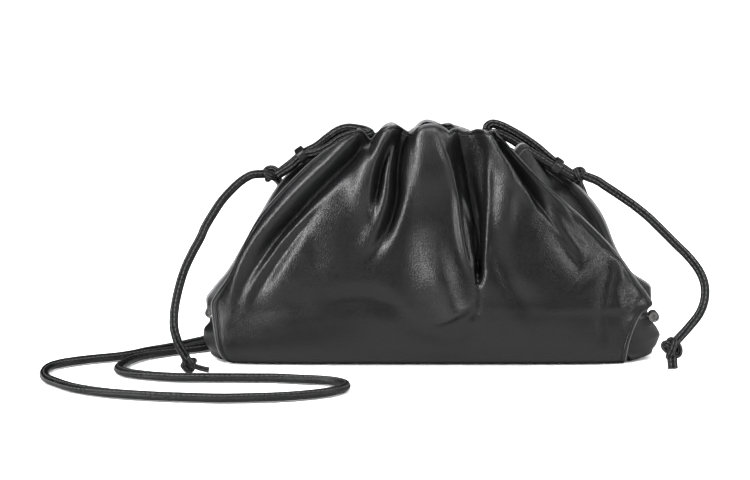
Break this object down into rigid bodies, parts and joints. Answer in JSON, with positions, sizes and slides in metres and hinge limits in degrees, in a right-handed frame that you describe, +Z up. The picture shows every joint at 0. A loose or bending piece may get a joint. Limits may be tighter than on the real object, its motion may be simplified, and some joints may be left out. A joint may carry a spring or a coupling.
{
  "type": "gathered pouch bag",
  "caption": "Small clutch-style pouch bag of soft gathered leather with folded sides, a scalloped open mouth and a thin knotted shoulder cord.",
  "frame": {"origin": "middle of the base, on the surface that the bag stands on", "axes": "+X to the right seen from the front, +Y to the back, +Z up"},
  "size_m": [0.3194, 0.1418, 0.1176],
  "materials": {
    "leather": "smooth black leather with a soft satin sheen and fine grain",
    "gusset": "smooth black leather, dull in the folds",
    "keeper": "smooth black leather band",
    "cord": "narrow folded black leather cord with a sewn edge",
    "hinge": "satin nickel"
  },
  "bodies": {
    "root": {"front_panel": "leather", "back_panel": "leather", "gusset_left": "gusset", "gusset_right": "gusset", "hinge_left": "hinge", "hinge_right": "hinge", "keeper_left": "keeper", "keeper_right": "keeper", "knot_upper_left": "cord", "knot_upper_right": "cord", "knot_end_left": "cord", "knot_end_right": "cord", "loop_left": "cord", "loop_right": "cord", "tail_left": "cord", "tail_right": "cord", "strap": "cord"}
  },
  "joints": []
}
